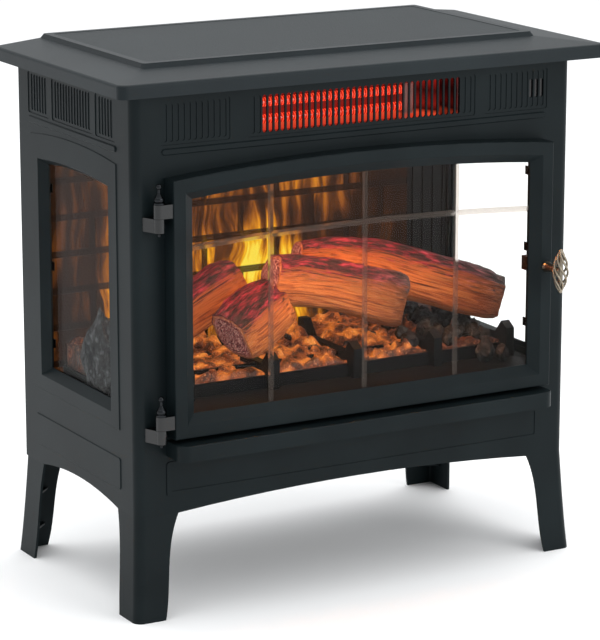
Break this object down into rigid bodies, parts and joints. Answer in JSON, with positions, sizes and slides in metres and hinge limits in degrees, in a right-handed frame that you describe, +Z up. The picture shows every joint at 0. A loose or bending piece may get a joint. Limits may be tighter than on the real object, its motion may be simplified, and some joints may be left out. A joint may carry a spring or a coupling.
{
  "type": "electric fireplace stove",
  "caption": "Free-standing electric stove fireplace with a hinged glazed door, side windows, log set over glowing embers, and an infrared heater behind upper slots.",
  "frame": {"origin": "on the floor, under the middle of the whole object, front to back and side to side", "axes": "+Z up, +X to the right as seen from the front, -Y towards the front, where the door is"},
  "size_m": [0.6096, 0.363, 0.6066],
  "materials": {
    "body_paint": "satin powder coat",
    "inner_steel": "matt black heat paint",
    "zinc_steel": "zinc plated",
    "clear_glass": "clear, bevelled",
    "hinge_black": "semi gloss",
    "gunmetal": "polished",
    "black_plastic": "moulded",
    "antique_brass": "antiqued",
    "brick_plastic": "translucent moulded",
    "circuit_board": "solder mask",
    "ember_plastic": "translucent moulded",
    "log_resin": "hand coloured resin",
    "coal_resin": "rough",
    "mirror_foil": "polished",
    "quartz": "ruby",
    "ceramic_white": "unglazed",
    "polished_aluminium": "bright rolled",
    "smoked_plastic": "smoked",
    "black_rubber": "moulded",
    "button_plastic": "moulded"
  },
  "bodies": {
    "cabinet": {"top_panel": "body_paint", "front_fascia": "body_paint", "left_side_panel": "body_paint", "right_side_panel": "body_paint", "back_cover": "body_paint", "back_cover_screws": "zinc_steel", "base_pan": "inner_steel", "left_front_leg": "body_paint", "right_front_leg": "body_paint", "left_rear_leg": "body_paint", "right_rear_leg": "body_paint", "hearth_ledge": "body_paint", "left_window_glass": "clear_glass", "right_window_glass": "clear_glass", "window_clips": "inner_steel", "upper_hinge_bracket": "hinge_black", "lower_hinge_bracket": "hinge_black", "upper_hinge_pin": "gunmetal", "lower_hinge_pin": "gunmetal", "door_magnet": "black_plastic", "firebox_floor": "inner_steel", "brick_screen": "brick_plastic", "ribbed_liner": "inner_steel", "firebox_roof": "inner_steel", "ember_tray": "inner_steel", "led_boards": "circuit_board", "ember_bed": "ember_plastic", "grate": "inner_steel", "log_left_front": "log_resin", "log_left_back": "log_resin", "log_centre": "log_resin", "log_right": "log_resin", "coal_lumps": "coal_resin", "flame_motor": "black_plastic", "quartz_tubes": "quartz", "tube_holders": "ceramic_white", "heater_reflector": "polished_aluminium", "heater_box": "zinc_steel", "thermal_cutoff": "ceramic_white", "blower_housing": "zinc_steel", "blower_motor": "zinc_steel", "control_bezel": "black_plastic", "control_board": "circuit_board", "display_window": "smoked_plastic", "ir_receiver": "smoked_plastic", "cord_inlet": "black_rubber"},
    "door": {"door_frame": "body_paint", "door_glass": "clear_glass", "door_glass_clips": "inner_steel", "upper_hinge_strap": "hinge_black", "lower_hinge_strap": "hinge_black", "door_strike_plate": "zinc_steel", "handle_stem": "antique_brass", "handle_cage": "antique_brass"},
    "blower_wheel": {"blower_wheel": "black_plastic"},
    "flame_rotor": {"flame_rotor": "mirror_foil"},
    "power_button": {"power_button": "button_plastic"},
    "heat_button": {"heat_button": "button_plastic"},
    "flame_button": {"flame_button": "button_plastic"},
    "timer_button": {"timer_button": "button_plastic"}
  },
  "joints": [
    {"name": "door_swing", "type": "hinge", "parent": "cabinet", "child": "door", "pos_m": [-0.2535, -0.1355, 0.346], "axis": [0, 0, -1], "range_deg": [0, 110]},
    {"name": "blower_spin", "type": "hinge", "parent": "cabinet", "child": "blower_wheel", "pos_m": [-0.015, 0, 0.544], "axis": [1, 0, 0], "continuous": true},
    {"name": "flame_rotor_spin", "type": "hinge", "parent": "cabinet", "child": "flame_rotor", "pos_m": [0, 0.143, 0.246], "axis": [1, 0, 0], "continuous": true},
    {"name": "power_button_press", "type": "slide", "parent": "cabinet", "child": "power_button", "axis": [0, -1, 0], "range_m": [0, 0.0012], "stiffness_N_per_m": 350},
    {"name": "heat_button_press", "type": "slide", "parent": "cabinet", "child": "heat_button", "axis": [0, -1, 0], "range_m": [0, 0.0012], "stiffness_N_per_m": 350},
    {"name": "flame_button_press", "type": "slide", "parent": "cabinet", "child": "flame_button", "axis": [0, -1, 0], "range_m": [0, 0.0012], "stiffness_N_per_m": 350},
    {"name": "timer_button_press", "type": "slide", "parent": "cabinet", "child": "timer_button", "axis": [0, -1, 0], "range_m": [0, 0.0012], "stiffness_N_per_m": 350}
  ]
}
